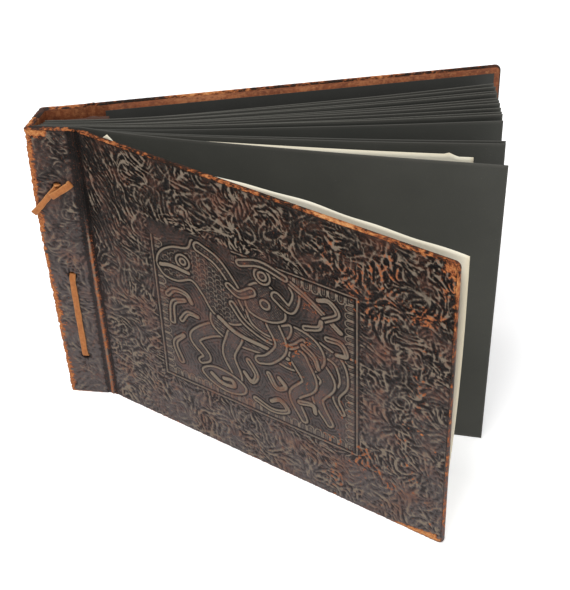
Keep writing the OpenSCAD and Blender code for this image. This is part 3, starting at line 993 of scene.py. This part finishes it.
def buildLiner(name, plan):
    # cloth over the inner side of spine, strip and hinge
    marks = [-spineW / 2, -6.0, -4.0, 4.0, 6.0, stripW - 5, stripW + 5, stripW + liner["ontoCover"]]
    s = steps(marks, liner["pitch"])
    z = steps([liner["margin"], coverH - liner["margin"]], 6)
    gridS, gridZ = np.meshgrid(s, z, indexing="ij")
    outer, inward, thick = plan.place(gridS.ravel())
    sides = []
    for extra in (0.05, 0.05 + liner["thick"]):
        flat = outer + inward * (thick + extra)[:, None]
        sides.append(np.column_stack([flat, gridZ.ravel()]).reshape(*gridS.shape, 3))
    points, faces = sheetSolid(*sides)
    place = np.tile(triples(gridS, gridZ), (2, 1))
    piece = faceOutward(makeMesh(name, points, faces, [hingeCloth], None, {"place": place}))
    blendOver(piece, plan)


buildLiner("front_hinge_liner", frontPlan)
buildLiner("back_hinge_liner", backPlan)

# Leaves and loose sheets.

leaves = {
    "turn": [0.3, 1.5, 2.1, 2.7, 3.4, 4.2, 5, 5.8, 6.8, 7.5, 8.4, 13.7, 14.2, 20.2],
    "width": 266.5, "creep": 0.3, "thick": 0.45, "bow": 4.0, "bowPlace": 0.35,
    "stubFirst": (2, -13.6), "stubLast": (-5.2, -21.4), "wave": 0.9,
    # counted from the back: the first leaf in the lighter paper, the leaves behind it being painted darker
    # as shade between the leaves, and the one that the loose sheet lies on
    "unshadedFrom": 10, "holdsSheet": 12, "pulled": 2.6, "frontTaller": 1.3,
}
leafLow, leafHigh = nodeBox("leaf_01")[0][2], nodeBox("leaf_01")[1][2]


def bow(u):
    u = u / leaves["bowPlace"]
    return leaves["bow"] * u * np.exp(1 - u)


def sharedWave(u, z):
    # every leaf has this wave, so neighbours stay clear of each other
    v = z / coverH
    ripple = 0.6 * np.sin(5.2 * u + 2.1 * v) + 0.4 * np.sin(9.1 * u - 3.3 * v + 1)
    return leaves["wave"] * smooth(u * 1.6) * ripple


def edgeWear(x, z, x0, x1, z0, z1, reach=1.3):
    return smooth(1 - np.minimum.reduce([x - x0, x1 - x, z - z0, z1 - z]) / reach)


def buildLeaf(i, name):
    crease = hinge[name + "_turn"]
    share = i / (len(leaves["turn"]) - 1)
    stub = spineBack + np.array(leaves["stubFirst"]) * (1 - share) + np.array(leaves["stubLast"]) * share
    back = unit(stub - crease)
    length = np.linalg.norm(stub - crease)
    out = way(-leaves["turn"][i])
    width = leaves["width"] + leaves["creep"] * i
    rng = np.random.default_rng(300 + i)
    own = (0.04 if i >= leaves["holdsSheet"] else rng.uniform(0.2, 0.42)) * rng.choice([-1, 1])
    phase = rng.uniform(0, 6)
    high = leafHigh - rng.choice([0.0, 0.5, 1.0, 1.7])
    foremost = i == len(leaves["turn"]) - 1
    if foremost:
        high = leafHigh + leaves["frontTaller"]
    x = steps([-length, -3.0, 3.0, 40.0, width - 2.5, width], 5.0)
    x = np.unique(np.round(np.concatenate([x, steps([-3.0, 3.0], 0.75), [width - 0.5, width - 1.2]]), 4))
    z = steps([leafLow, leafLow + 2.5, high - 2.5, high], 7.0)
    z = np.unique(np.round(np.concatenate([z, [leafLow + 0.5, high - 0.5]]), 4))
    gridX, gridZ = np.meshgrid(x, z, indexing="ij")
    u = np.clip(gridX / width, 0, 1)
    side = -bow(u) + sharedWave(u, gridZ) + own * u * np.sin(6 * u + gridZ / 60 + phase)
    # the front leaf hangs a little askew, further out at its top
    pulled = leaves["pulled"] * u * gridZ / coverH * foremost
    gridZ = gridZ + 0.25 * pulled
    onPage = gridX[..., None] > 0
    middle = np.where(onPage, crease + out * (gridX + pulled)[..., None] + leftOf(out) * side[..., None],
                      crease - back * gridX[..., None])
    blendIn = smooth((gridX[..., None] + 3) / 6)
    facing = -leftOf(back) * (1 - blendIn) + leftOf(out) * blendIn
    points, faces = sheetSolid(*twoSides(middle, facing, leaves["thick"], gridZ))
    place = triples(gridX + 400 * i, gridZ, 37.0 * i)
    wear = edgeWear(gridX, gridZ, -length, width, leafLow, high).ravel()
    # the inner leaves take the paper painted darker as shade
    paper = leafPaper if i >= leaves["unshadedFrom"] else shadedLeafPaper
    piece = makeMesh("page_%02d" % (i + 1), points, faces, [paper], None,
                     {"place": np.tile(place, (2, 1)), "wear": np.tile(wear, 2)})
    faceOutward(piece)
    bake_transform(piece)
    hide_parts(name, "leaf_stubs")
    return piece


for i in range(len(leaves["turn"])):
    buildLeaf(i, "leaf_%02d" % (i + 1))
print("leaves: %d sheets" % len(leaves["turn"]))

insert = {
    "thick": 0.3, "lining": 0.3, "gap": 0.6, "lift": 6.2, "rampFrom": 92.0, "ramp": 90.0,
    "frontFrom": 17.0, "frontHigh": 227.6, "leanFrom": 40.0, "leanOver": 150.0, "footBack": 3.0,
    "sink": 1.4, "cornerUp": 5.2, "cornerWide": 6.5,
    "middleFrom": 36.0, "middleTo": 251.0, "middleTurn": 17.0, "middleTaller": 1.01, "tornAt": 236.0,
}


def looseSheet(name, middle, facing, gridX, gridZ, body, node):
    points, faces = sheetSolid(*twoSides(middle, facing, insert["thick"], gridZ))
    place = triples(gridX, gridZ, 7.0)
    bottom = 0 * gridZ + gridZ.min()
    wear = edgeWear(gridX, gridZ, gridX.min(), gridX.max(), bottom, gridZ.max(), 2.5).ravel()
    piece = faceOutward(makeMesh(name, points, faces, [creamPaper], None,
                                 {"place": np.tile(place, (2, 1)), "wear": np.tile(wear, 2)}))
    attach(piece, body)
    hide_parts(node)
    return piece


def buildFrontInsert():
    x = steps([insert["frontFrom"], 33.0, coverW], 4.0)
    x = np.unique(np.round(np.concatenate([x, steps([insert["frontFrom"], 33.0], 1.0)]), 4))
    z = steps([0.0, 3.0, insert["frontHigh"] - 3, insert["frontHigh"]], 6.0)
    gridX, gridZ = np.meshgrid(x, z, indexing="ij")
    u = np.clip((gridX - insert["rampFrom"]) / insert["ramp"], 0, 1)
    # it leans: its foot lies against the cover and its upper fore corner stands away
    lean = 1 - (1 - np.clip((gridZ - insert["leanFrom"]) / insert["leanOver"], 0, 1)) ** 2
    gap = insert["gap"] * (0.2 + 0.8 * smooth((gridX - 20) / 25))
    gap = gap + insert["lift"] * (1 - np.cos(pi * u)) / 2 * (0.1 + 0.9 * lean)
    gridX = gridX - insert["footBack"] * (1 - lean) * smooth((gridX - 60) / 200)
    flutter = 0.5 * smooth(u * 2) * np.sin(gridX / 19 + 0.8 * np.sin(gridZ / 50))
    flutter = np.clip(flutter * smooth((gridZ - 120) / 110), -0.3, 0.5)
    depth = coverT + insert["lining"] + insert["thick"] / 2 + gap + flutter
    # its top edge is a little uneven, sinks towards the hinge, and one bent corner stands up there
    top = gridZ > insert["frontHigh"] - 0.1
    uneven = np.where(top, 0.35 * (1 + np.sin(gridX / 7.3)) + 0.3 * (1 + np.sin(gridX / 23)), 0)
    sunk = insert["sink"] * smooth((130 - gridX) / 60) * smooth((gridZ - 150) / 60)
    fromCorner = np.abs(gridX - insert["frontFrom"] - 7) / insert["cornerWide"]
    corner = insert["cornerUp"] * np.clip(1 - fromCorner, 0, 1) * smooth((gridZ - 212) / 14)
    gridZ = gridZ - uneven - sunk + corner
    crease, inward = frontPlan.crease, leftOf(coverWay)
    middle = crease + coverWay * gridX[..., None] + inward * depth[..., None]
    return looseSheet("cream_sheet_front", middle, inward, gridX, gridZ,
                      "front_insert", "front_insert")


def buildMiddleInsert():
    crease = (hinge["leaf_13_turn"] + hinge["leaf_14_turn"]) / 2
    out = way(-insert["middleTurn"])
    low, high = nodeBox("middle_insert")[0][2], nodeBox("middle_insert")[1][2]
    x = steps([insert["middleFrom"], insert["middleTo"]], 3.0)
    z = steps([low, low + 3, high - 6, high], 3.0)
    gridX, gridZ = np.meshgrid(x, z, indexing="ij")
    u = gridX / leaves["width"]
    side = -bow(u) + sharedWave(u, gridZ)
    # a torn bit stands up in the top edge, which is lower beyond it
    fromTear = gridX - insert["tornAt"]
    torn = 1.7 * smooth((fromTear - 1) / 5) - np.exp(-((fromTear / 1.8) ** 2))
    gridZ = gridZ * insert["middleTaller"] - torn * smooth((gridZ - high + 7) / 6)
    middle = crease + out * gridX[..., None] + leftOf(out) * side[..., None]
    return looseSheet("cream_sheet_middle", middle, leftOf(out), gridX, gridZ,
                      "middle_insert", "middle_insert")


buildFrontInsert()
buildMiddleInsert()
print("loose sheets: 2")

# Lace.


def onFront(s, depth, z):
    return (*(spineFront + frontWay * s + leftOf(frontWay) * depth), z)


def onBack(s, depth, z):
    return (spineBack[0] + s, spineBack[1] - depth, z)


def strap(points, sideways, width, thick, each=6):
    # sweeps a strap with rounded edges through the points; sideways gives the way across it
    points, sideways = np.asarray(points, float), np.asarray(sideways, float)
    path, across = [], []
    p = longer(points)
    for k in range(len(points) - 1):
        for t in np.linspace(0, 1, each, endpoint=False):
            path.append(curveThrough(*p[k:k + 4], t))
            across.append(sideways[k] * (1 - t) + sideways[k + 1] * t)
    path.append(points[-1])
    across.append(sideways[-1])
    path, across = np.array(path), np.array(across)
    along = np.gradient(path, axis=0)
    along /= np.linalg.norm(along, axis=1)[:, None]
    across -= along * (along * across).sum(1)[:, None]
    across /= np.linalg.norm(across, axis=1)[:, None]
    normal = np.cross(along, across)
    corners = 16
    angle = np.arange(corners) / corners * 2 * pi
    x = np.sign(np.cos(angle)) * np.abs(np.cos(angle)) ** 0.35 * width / 2
    y = np.sign(np.sin(angle)) * np.abs(np.sin(angle)) ** 0.6 * thick / 2
    travelled = np.concatenate([[0], np.cumsum(np.linalg.norm(np.diff(path, axis=0), axis=1))])
    uneven = 1 + 0.045 * np.sin(travelled / 3.1) + 0.03 * np.sin(travelled / 1.3 + 1)
    rings, places, wears = [], [], []
    scales = [0.0] + [1.0] * len(path) + [0.0]
    order = [0] + list(range(len(path))) + [len(path) - 1]
    for scale, k in zip(scales, order):
        rings.append(path[k] + scale * (np.outer(x * uneven[k], across[k]) + np.outer(y, normal[k])))
        places.append(triples(x, y, travelled[k]))
        wears.append(smooth((np.abs(x) / width * 2 - 0.78) / 0.2) * 0.8)
    count = len(rings)
    index = np.arange(count * corners).reshape(count, corners)
    wrapped = np.concatenate([index, index[:, :1]], 1)
    faces = np.stack([wrapped[:-1, :-1], wrapped[1:, :-1], wrapped[1:, 1:], wrapped[:-1, 1:]], -1)
    return np.concatenate(rings), faces.reshape(-1, 4), np.concatenate(places), np.concatenate(wears)


def buildLace():
    s, t = lace["hole"], lace["thick"] / 2
    bottom, centre, top = holeHeights
    frontSide, backSide = (*frontWay, 0), (1, 0, 0)
    tail = unit((*(frontWay * 0.56), -0.83))
    # stretch by stretch: across the tail, then in and out through the holes, each stop as
    # distance from the spine's edge, depth below the leather and height
    stretches = [
        (onFront, tail, [(-4.6, -1.6, top - 21.2), (0, -1.5, top - 16.3), (4.6, -1.3, top - 10.9),
                         (8.8, -1.6, top - 5.8), (12.8, -1.3, top - 1.6)]),
        (onFront, frontSide, [(s, 1.5, top + 0.2), (s, 5, top - 0.9)]),
        (onBack, backSide, [(s, 5, top - 0.9), (s, 1.2, top - 1.0), (s, -1.9, top - 3.2),
                            (s, -2.4, top - 12), (s, -2.4, centre + 26), (s, -2.4, centre + 3),
                            (s, -1.4, centre - 7), (s, -t, centre - 18), (s, -t, bottom + 12),
                            (s, -t, bottom + 3), (s, 1.4, bottom), (s, 5, bottom)]),
        (onFront, frontSide, [(s, 5, bottom), (s, 1.4, bottom), (s, -t, bottom + 3),
                              (s, -t - 0.2, bottom + 14), (s, -t - 0.35, centre - 30),
                              (s, -t - 0.1, centre - 8), (s, -t + 0.1, centre - 3.2),
                              (s, 1.6, centre), (s, 5, centre)]),
        (onBack, backSide, [(s, 5, centre), (s, 1.4, centre), (s, -t, centre + 3), (s, -t, centre + 14),
                            (s, -t, top - 14), (s, -t, top - 3), (s, 1.4, top + 0.9), (s, 5, top + 0.9)]),
        (onFront, frontSide, [(s, 5, top + 0.9), (s, 1.2, top + 1.2), (s + 1.2, -1.6, top + 2)]),
    ]
    run = [(place(*stop), across) for place, across, stops in stretches for stop in stops]
    # the other end: a short length rolled in at both its ends, knotted over the long tail
    start, line = np.array([24.0, top + 3.6]), np.array([-0.82, -0.57])
    rolled = [(1.6, -1.3), (0.4, -0.9), (-0.3, -1.8), (0.9, -2.7), (3.5, -2.9), (8, -3.4), (13, -3.5),
              (16.0, -3.3), (17.2, -2.3), (16.4, -1.2), (15.0, -1.6)]
    knot = []
    for q, depth in rolled:
        at = start + line * q
        knot.append((onFront(at[0], depth, at[1]), tail))
    parts = [strap(*zip(*run), lace["width"], lace["thick"]), strap(*zip(*knot), lace["width"] + 0.5, 1.5)]
    points, faces, places, wears = [], [], [], []
    count = 0
    for part in parts:
        points.append(part[0])
        faces.append(part[1] + count)
        places.append(part[2])
        wears.append(part[3])
        count += len(part[0])
    piece = faceOutward(makeMesh("lace_thong", np.concatenate(points), np.concatenate(faces), [thong], None,
                                 {"place": np.concatenate(places), "wear": np.concatenate(wears)}))
    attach(piece, "binding")
    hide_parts("lace")
    return piece


buildLace()
print("lace threaded")

# Parts carried over from the frame.

for name, node in frame["nodes"].items():
    if name.endswith("_lining"):
        finish = liningPaper
    elif name.endswith("_board"):
        finish = boardFinish
    else:
        continue
    for slot in node.material_slots:
        slot.material = finish

# Floor, light, camera.

studio = {"floor": 6.0, "world": 0.55, "keyPower": 22.0, "fillPower": 5.0, "floorGlow": 0.45}


def plainPaint(name, colour, roughness, glow):
    p = Paint(name)
    return p.finish((*colour, 1), roughness, Emission_Color=(1, 1, 1, 1), Emission_Strength=glow)


half = studio["floor"] / mm
corners = [(-half, -half, 0), (half, -half, 0), (half, half, 0), (-half, half, 0)]
floor = makeMesh("floor", corners, [[0, 1, 2, 3]],
                 [plainPaint("floor_white", (0.93, 0.93, 0.93), 0.9, studio["floorGlow"])], hard=True)
world = bpy.data.worlds.new("soft white")
bpy.context.scene.world = world
world.use_nodes = True
world.node_tree.nodes["Background"].inputs["Color"].default_value = (1, 1, 1, 1)
world.node_tree.nodes["Background"].inputs["Strength"].default_value = studio["world"]
bpy.context.scene.view_settings.view_transform = "Standard"


def softLight(name, place, target, size, power):
    light = bpy.data.lights.new(name, "AREA")
    light.shape, light.size, light.energy = "SQUARE", size, power
    lamp = bpy.data.objects.new(name, light)
    bpy.context.scene.collection.objects.link(lamp)
    lamp.location = place
    lamp.rotation_euler = (Vector(target) - Vector(place)).to_track_quat("-Z", "Y").to_euler()


softLight("key", (-0.45, -0.55, 1.7), (0, 0, 0.1), 0.7, studio["keyPower"])
softLight("fill", (0.9, -1.2, 1.0), (0, 0, 0.1), 1.2, studio["fillPower"])

view = {"place": (-0.06915, -0.65028, 0.6516), "heading": (0.1028, 0.9947), "down": 38.359, "roll": -2.542,
        "lens": 78.48, "sensor": 36.0}


def addCamera():
    down, roll = radians(view["down"]), radians(view["roll"])
    headX, headY = view["heading"]
    ahead = Vector((headX * cos(down), headY * cos(down), -sin(down))).normalized()
    right = ahead.cross(Vector((0, 0, 1))).normalized()
    up = right.cross(ahead)
    turnedRight = right * cos(roll) + up * sin(roll)
    turnedUp = up * cos(roll) - right * sin(roll)
    lens = bpy.data.cameras.new("camera")
    lens.lens, lens.sensor_width, lens.clip_start = view["lens"], view["sensor"], 0.01
    camera = bpy.data.objects.new("camera", lens)
    bpy.context.scene.collection.objects.link(camera)
    axes = Matrix((turnedRight, turnedUp, -ahead)).transposed().to_4x4()
    camera.matrix_world = Matrix.Translation(view["place"]) @ axes
    bpy.context.scene.camera = camera


addCamera()
